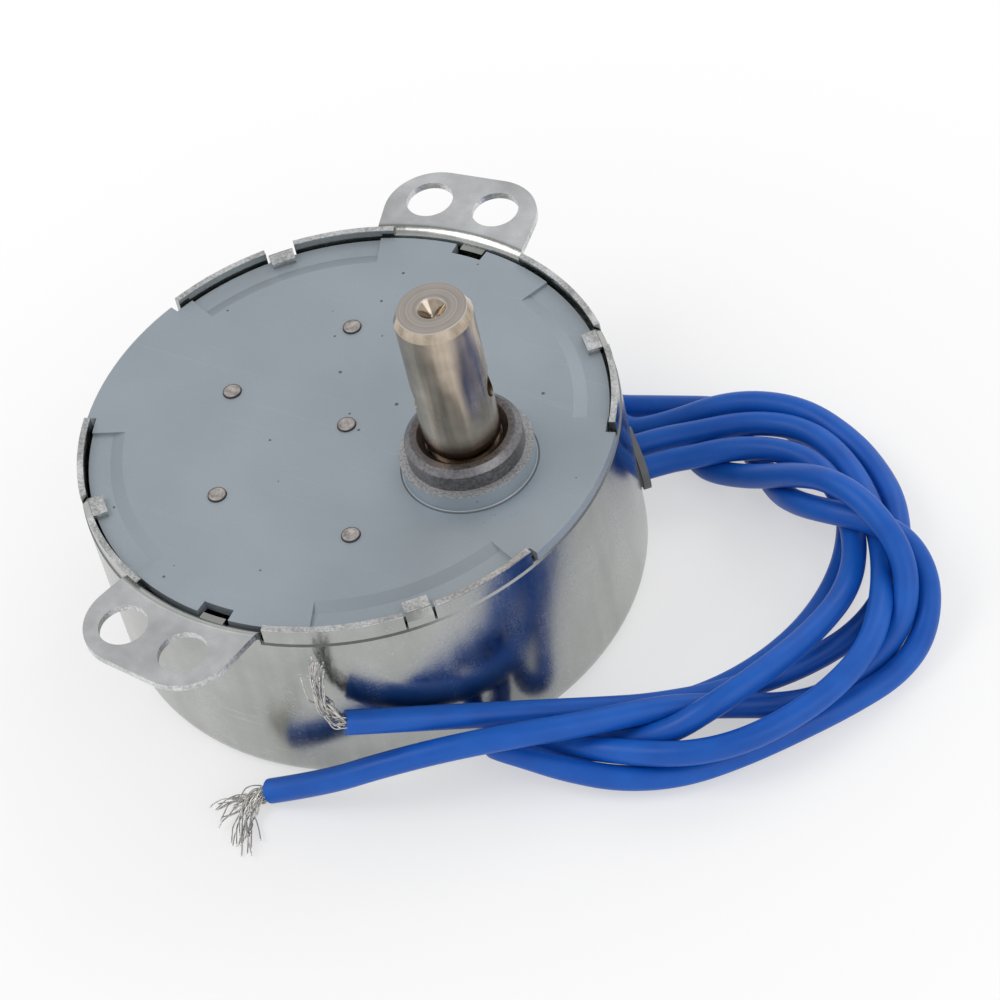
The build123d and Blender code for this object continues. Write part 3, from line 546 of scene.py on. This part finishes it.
def coverFinish(name, look, shaftPlace):
    material, tree, shader = startMaterial(name, Metallic=look["metallic"])
    grain = useGroup(tree, grainGroup, Slow=look["slow"], Fine=look["fine"])
    marks = useGroup(tree, marksGroup, Cells=look["speckCells"], Size=look["speckSize"])
    ring = useGroup(tree, ringPlaceGroup, Centre=shaftPlace)
    shade = tones(tree, grain["Slow"], look["toneLimits"], look["dark"], look["light"])
    shade = mixColour(tree, times(tree, marks["Scratches"], look["scratchShare"]), shade, look["scratch"])
    grainy = rangeNode(tree, grain["Fine"], *look["fineLimits"], 0, look["fineShare"])
    shade = mixColour(tree, grainy, shade, look["slope"])
    # Painted shade: the sloping sides of the coined pockets are darkened; the same dark colour also tints the
    # fine grain
    slope = band(tree, ring["Level"], *look["slopeLevels"], look["slopeSoft"])
    shade = mixColour(tree, times(tree, slope, look["slopeShadeShare"]), shade, look["slope"])
    grimeNoise = addNode(tree, "ShaderNodeTexNoise", Scale=look["grimeScale"], Detail=look["grimeDetail"])
    link(tree, addNode(tree, "ShaderNodeTexCoord").outputs["Object"], grimeNoise.inputs["Vector"])
    grime = rangeNode(tree, grimeNoise.outputs["Fac"], *look["grimeLimits"], 0, look["grimeShare"])
    grime = times(tree, grime, band(tree, ring["Radius"], *look["grimeMm"], look["grimeSoftMm"]))
    grime = times(tree, grime, rangeNode(tree, grain["Slow"], *look["patchLimits"], *look["patchShares"]))
    # Painted shade: a dark ring at the foot of the collar, mixed in with the real specks and grime
    footLow = below(tree, ring["Height"], look["footTopMm"] + look["softMm"], look["softMm"])
    foot = times(tree, band(tree, ring["Radius"], *look["footMm"], look["softMm"]), footLow)
    specks = times(tree, marks["Specks"], look["speckShare"])
    dirtAndShade = larger(tree, specks, larger(tree, grime, times(tree, foot, look["footShadeShare"])))
    shade = mixColour(tree, dirtAndShade, shade, look["darkMarkAndShade"])
    collarTop = above(tree, ring["Height"], look["collarTopMm"], look["softMm"])
    torn = times(tree, band(tree, ring["Radius"], *look["collarMm"], look["softMm"]), collarTop)
    rag = tones(tree, grain["Fine"], look["tornLimits"], look["tornDark"], look["torn"])
    link(tree, mixColour(tree, torn, shade, rag), shader.inputs["Base Color"])
    rough = rangeNode(tree, grain["Slow"], *look["roughLimits"], *look["rough"])
    link(tree, rough, shader.inputs["Roughness"])
    ragged = raggedHeight(tree, torn, grain["Fine"], look)
    bumpFrom(tree, shader, mathNode(tree, "SUBTRACT", ragged, specks), look)
    return material


# Nickel shaft: streaks along it, turned rings on its end, a glossier bevel, darker and oily near the bush
shaftLook = {
    "dark": (0.29, 0.24, 0.185), "light": (0.62, 0.53, 0.43), "toneLimits": (0.36, 0.64),
    "slow": 330.0, "fine": 4200.0, "streak": 900.0, "streakShare": 0.6, "scratchShare": 0.35,
    "oil": (0.13, 0.098, 0.076), "oilMm": (24.1, 26.2), "oilShare": 0.8,
    "endDark": (0.42, 0.38, 0.345), "endLight": (0.56, 0.51, 0.47), "endLimits": (0.35, 0.65),
    "endTopMm": 39.2, "endSoftMm": 0.04, "ringMm": 0.3, "ringDetail": 3.0, "ringWobbleMm": 0.25,
    "bevelMm": (38.35, 39.15), "bevelSoftMm": 0.05,
    "rough": (0.17, 0.30), "roughLimits": (0.35, 0.65), "endRough": 0.12, "bevelGloss": 0.1,
    "bump": 0.22, "bumpMm": 0.012, "ringBump": 1.6,
}


def shaftFinish(name, look, shaftPlace):
    material, tree, shader = startMaterial(name, Metallic=1.0)
    grain = useGroup(tree, grainGroup, Slow=look["slow"], Fine=look["fine"], Streak=look["streak"])
    marks = useGroup(tree, marksGroup)
    ring = useGroup(tree, ringPlaceGroup, Centre=shaftPlace)
    streak = weigh(tree, grain["Streak"], grain["Slow"], look["streakShare"])
    shade = tones(tree, streak, look["toneLimits"], look["dark"], look["light"])
    shade = mixColour(tree, times(tree, marks["Scratches"], look["scratchShare"]), shade, look["light"])
    oil = rangeNode(tree, ring["Height"], *look["oilMm"], look["oilShare"], 0)
    shade = mixColour(tree, oil, shade, look["oil"])
    end = above(tree, ring["Height"], look["endTopMm"], look["endSoftMm"])
    ringScale = 1 / look["ringMm"]
    ringNoise = addNode(
        tree, "ShaderNodeTexNoise", noise_dimensions="1D", Scale=ringScale, Detail=look["ringDetail"],
    )
    wobble = plus(tree, ring["Radius"], times(tree, grain["Slow"], look["ringWobbleMm"]))
    link(tree, wobble, ringNoise.inputs["W"])
    rings = ringNoise.outputs["Fac"]
    endShade = tones(tree, rings, look["endLimits"], look["endDark"], look["endLight"])
    link(tree, mixColour(tree, end, shade, endShade), shader.inputs["Base Color"])
    rough = rangeNode(tree, streak, *look["roughLimits"], *look["rough"])
    rough = plus(tree, rough, times(tree, end, look["endRough"]))
    bevel = band(tree, ring["Height"], *look["bevelMm"], look["bevelSoftMm"])
    rough = mathNode(tree, "SUBTRACT", rough, times(tree, bevel, look["bevelGloss"]))
    link(tree, rough, shader.inputs["Roughness"])
    tooled = times(tree, times(tree, rings, end), look["ringBump"])
    bumpFrom(tree, shader, plus(tree, tooled, grain["Fine"]), look)
    return material


# Sintered bush: dark and grainy, brown with oil in its sink and a painted highlight on the bevel
bushLook = {
    "metallic": 0.85,
    "dark": (0.095, 0.094, 0.10), "light": (0.21, 0.206, 0.215), "toneLimits": (0.32, 0.68),
    "slow": 3300.0, "fine": 5200.0,
    "oil": (0.15, 0.115, 0.095), "oilMm": (4.1, 4.7), "oilShare": 0.7,
    "bevel": (0.30, 0.29, 0.30), "bevelMm": (4.75, 5.25), "bevelFootMm": 23.2, "bevelSoftMm": 0.1,
    "bevelHighlightShare": 0.5,
    "rough": (0.27, 0.42), "roughLimits": (0.3, 0.7), "bump": 0.4, "bumpMm": 0.03,
}


def bushFinish(name, look, shaftPlace):
    material, tree, shader = startMaterial(name, Metallic=look["metallic"])
    grain = useGroup(tree, grainGroup, Slow=look["slow"], Fine=look["fine"])
    ring = useGroup(tree, ringPlaceGroup, Centre=shaftPlace)
    shade = tones(tree, grain["Slow"], look["toneLimits"], look["dark"], look["light"])
    soft = look["bevelSoftMm"]
    # Painted highlight: a lighter, grainy ring on the bevel round the bush top
    bevelTop = above(tree, ring["Height"], look["bevelFootMm"] + soft, soft)
    bevel = times(tree, band(tree, ring["Radius"], *look["bevelMm"], soft), bevelTop)
    bevel = times(tree, times(tree, bevel, look["bevelHighlightShare"]), grain["Fine"])
    shade = mixColour(tree, bevel, shade, look["bevel"])
    oil = rangeNode(tree, ring["Radius"], *look["oilMm"], look["oilShare"], 0)
    link(tree, mixColour(tree, oil, shade, look["oil"]), shader.inputs["Base Color"])
    rough = rangeNode(tree, grain["Slow"], *look["roughLimits"], *look["rough"])
    link(tree, rough, shader.inputs["Roughness"])
    bumpFrom(tree, shader, grain["Slow"], look)
    return material


# Pin ends: turned faces with a dark rim where the pin meets the cover
pinLook = {
    "dark": (0.31, 0.28, 0.265), "light": (0.70, 0.66, 0.63), "toneLimits": (0.3, 0.7),
    "slow": 1500.0, "ringMm": 0.3, "ringShare": 0.03,
    "rim": (0.10, 0.088, 0.082), "rimMm": (0.71, 0.82), "rimShare": 0.9,
    "rough": (0.25, 0.42), "roughLimits": (0.3, 0.7), "bump": 0.3, "bumpMm": 0.012,
}


def pinFinish(name, look, pinPlace):
    material, tree, shader = startMaterial(name, Metallic=1.0)
    grain = useGroup(tree, grainGroup, Slow=look["slow"])
    ring = useGroup(tree, ringPlaceGroup, Centre=pinPlace)
    rings = mathNode(tree, "SINE", times(tree, ring["Radius"], 2 * np.pi / look["ringMm"]))
    turned = plus(tree, times(tree, rings, look["ringShare"]), grain["Slow"])
    shade = tones(tree, turned, look["toneLimits"], look["dark"], look["light"])
    rim = rangeNode(tree, ring["Radius"], *look["rimMm"], 0, look["rimShare"])
    link(tree, mixColour(tree, rim, shade, look["rim"]), shader.inputs["Base Color"])
    rough = rangeNode(tree, grain["Slow"], *look["roughLimits"], *look["rough"])
    link(tree, rough, shader.inputs["Roughness"])
    bumpFrom(tree, shader, turned, look)
    return material


# Plain finishes: two tones mixed by the slow grain, roughness with it, and the fine grain as a bump
plainLook = {
    "metallic": 1.0, "specular": 0.5, "slow": 160.0, "fine": 2500.0, "limits": (0.3, 0.7),
    "bump": 0.12, "bumpMm": 0.03,
}
plasticLook = {**plainLook, "metallic": 0.0}
plainLooks = {
    "softIron": {
        **plainLook, "dark": (0.40, 0.40, 0.38), "light": (0.55, 0.55, 0.53), "rough": (0.3, 0.45),
    },
    "gearBrass": {
        **plainLook, "dark": (0.62, 0.44, 0.16), "light": (0.76, 0.58, 0.26), "rough": (0.25, 0.4),
    },
    "copper": {
        **plainLook, "dark": (0.52, 0.19, 0.08), "light": (0.72, 0.30, 0.15), "rough": (0.25, 0.4),
        "slow": 1500.0,
    },
    "tinned": {
        **plainLook, "dark": (0.42, 0.40, 0.37), "light": (0.80, 0.79, 0.76), "rough": (0.18, 0.32),
        "slow": 1600.0,
    },
    "ferrite": {
        **plasticLook, "dark": (0.035, 0.033, 0.033), "light": (0.07, 0.066, 0.064), "rough": (0.5, 0.65),
    },
    "gearPlastic": {
        **plasticLook, "dark": (0.70, 0.68, 0.60), "light": (0.78, 0.76, 0.68), "rough": (0.4, 0.5),
    },
    "bobbinPlastic": {
        **plasticLook, "dark": (0.62, 0.59, 0.50), "light": (0.70, 0.67, 0.58), "rough": (0.4, 0.55),
    },
    "filmTape": {
        **plasticLook, "dark": (0.62, 0.42, 0.05), "light": (0.72, 0.50, 0.08), "rough": (0.15, 0.25),
    },
    "nylon": {
        **plasticLook, "dark": (0.60, 0.57, 0.49), "light": (0.66, 0.63, 0.55), "rough": (0.4, 0.5),
    },
    "grommetGrey": {
        **plasticLook, "dark": (0.12, 0.124, 0.13), "light": (0.16, 0.165, 0.175), "rough": (0.45, 0.6),
    },
    "wireBlue": {
        **plasticLook, "dark": (0.003, 0.080, 0.41), "light": (0.006, 0.108, 0.50), "rough": (0.36, 0.48),
        "specular": 0.32, "slow": 240.0, "fine": 1800.0, "bump": 0.08,
    },
}


def plainFinish(name, look):
    material, tree, shader = startMaterial(
        name, Metallic=look["metallic"], Specular_IOR_Level=look["specular"],
    )
    grain = useGroup(tree, grainGroup, Slow=look["slow"], Fine=look["fine"])
    shade = tones(tree, grain["Slow"], look["limits"], look["dark"], look["light"])
    link(tree, shade, shader.inputs["Base Color"])
    rough = rangeNode(tree, grain["Slow"], *look["limits"], *look["rough"])
    link(tree, rough, shader.inputs["Roughness"])
    bumpFrom(tree, shader, grain["Fine"], look)
    return material


# Which finish each of the record's material slots takes. Pins get one each, centred on their own axis
slotFinishes = {
    "zinc_steel": "canZinc", "cover_steel": "coverSatin", "shaft_steel": "shaftNickel",
    "sintered_iron": "bushSintered", "soft_iron": "softIron", "gear_brass": "gearBrass",
    "gear_plastic": "gearPlastic", "ferrite": "ferrite", "bobbin_plastic": "bobbinPlastic",
    "copper": "copper", "tape": "filmTape", "washer_nylon": "nylon", "grommet": "grommetGrey",
    "wire_blue": "wireBlue", "tinned": "tinned",
}


# Middle of a node seen from above, for patterns that run round its axis
def axisOf(node):
    low, high = (np.array(corner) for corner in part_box(node))
    return (*((low + high) / 2)[:2], 0.0)


def dress(shown, material):
    shown.data.materials.clear()
    shown.data.materials.append(material)


shaftPlace = axisOf("output_bush")
finishes = {name: plainFinish(name, look) for name, look in plainLooks.items()}
finishes["canZinc"] = canFinish("canZinc", canLook)
finishes["coverSatin"] = coverFinish("coverSatin", coverLook, shaftPlace)
finishes["shaftNickel"] = shaftFinish("shaftNickel", shaftLook, shaftPlace)
finishes["bushSintered"] = bushFinish("bushSintered", bushLook, shaftPlace)
for row in frame["record"]["subparts"]:
    if row["material_slot"] == "pin_steel":
        dress(nodes[row["node"]], pinFinish(row["node"], pinLook, axisOf(row["node"])))
    else:
        dress(nodes[row["node"]], finishes[slotFinishes[row["material_slot"]]])
for piece in leadPieces:
    dress(piece, finishes["wireBlue"])
for piece in strandPieces:
    dress(piece, finishes["tinned"])
print("finishes set:", len(bpy.data.materials))

# Floor and light: a pale floor that fades to white round the motor, a sky that is white at the horizon,
# and three soft lamps
stage = {
    "floorMm": 3000.0,
    "floorColour": (0.92, 0.92, 0.92),
    "floorRough": 0.9,
    "floorSpecular": 0.1,
    "fadeMm": (30.0, 80.0),
    "fadeShare": 0.5,
    "middleMm": (12.0, -2.0, 0.0),
    "skyColour": (1, 1, 1),
    "skyRise": (0.05, 1.0),
    "skyStrengths": (1.0, 0.42),
    "lamps": (
        {"name": "keyLamp", "placeMm": (-350, -250, 620), "sizeMm": 380, "watts": 1.5},
        {"name": "fillLamp", "placeMm": (520, -120, 420), "sizeMm": 420, "watts": 0.7},
        {"name": "backLamp", "placeMm": (100, 560, 480), "sizeMm": 380, "watts": 0.8},
    ),
}


# The floor takes the shadow near the motor. Away from it, seen directly or in metal, it is plain white
def makeFloor():
    half = stage["floorMm"] / 2 * mm
    corners = [(-half, -half, 0), (half, -half, 0), (half, half, 0), (-half, half, 0)]
    mesh = bpy.data.meshes.new("floor")
    mesh.from_pydata(corners, [], [(0, 1, 2, 3)])
    floor = bpy.data.objects.new("floor", mesh)
    bpy.context.scene.collection.objects.link(floor)
    material, tree, shader = startMaterial(
        "floorPaper", Roughness=stage["floorRough"], Specular_IOR_Level=stage["floorSpecular"],
    )
    shader.inputs["Base Color"].default_value = (*stage["floorColour"], 1)
    white = addNode(tree, "ShaderNodeEmission", Strength=1.0)
    path = addNode(tree, "ShaderNodeLightPath").outputs
    mirrored = larger(tree, path["Is Glossy Ray"], path["Is Transmission Ray"])
    seen = larger(tree, path["Is Camera Ray"], mirrored)
    distance = addNode(tree, "ShaderNodeVectorMath", operation="DISTANCE")
    link(tree, addNode(tree, "ShaderNodeTexCoord").outputs["Object"], distance.inputs[0])
    distance.inputs[1].default_value = [size * mm for size in stage["middleMm"]]
    near, far = (size * mm for size in stage["fadeMm"])
    away = rangeNode(tree, distance.outputs["Value"], near, far, stage["fadeShare"], 1)
    fade = times(tree, seen, away)
    mixed = addNode(tree, "ShaderNodeMixShader")
    link(tree, fade, mixed.inputs[0])
    link(tree, shader.outputs[0], mixed.inputs[1])
    link(tree, white.outputs[0], mixed.inputs[2])
    link(tree, mixed.outputs[0], tree.nodes["Material Output"].inputs["Surface"])
    mesh.materials.append(material)


# Each lamp looks at the motor's own origin
def makeLamps():
    for lamp in stage["lamps"]:
        data = bpy.data.lights.new(lamp["name"], "AREA")
        data.size = lamp["sizeMm"] * mm
        data.energy = lamp["watts"]
        shown = bpy.data.objects.new(lamp["name"], data)
        spot = np.array(lamp["placeMm"]) * mm
        back = spot / np.linalg.norm(spot)
        side = np.cross((0, 0, 1), back)
        side /= np.linalg.norm(side)
        matrix = Matrix(np.column_stack((side, np.cross(back, side), back)).tolist()).to_4x4()
        matrix.translation = spot
        shown.matrix_world = matrix
        bpy.context.scene.collection.objects.link(shown)


def makeWorld():
    world = bpy.data.worlds.new("studio")
    bpy.context.scene.world = world
    world.use_nodes = True
    tree = world.node_tree
    ray = addNode(tree, "ShaderNodeSeparateXYZ")
    link(tree, addNode(tree, "ShaderNodeTexCoord").outputs["Generated"], ray.inputs[0])
    strength = rangeNode(tree, ray.outputs[2], *stage["skyRise"], *stage["skyStrengths"])
    background = tree.nodes["Background"]
    background.inputs["Color"].default_value = (*stage["skyColour"], 1)
    link(tree, strength, background.inputs["Strength"])


makeFloor()
makeLamps()
makeWorld()
bpy.context.scene.view_settings.view_transform = "Standard"
print("stage set")
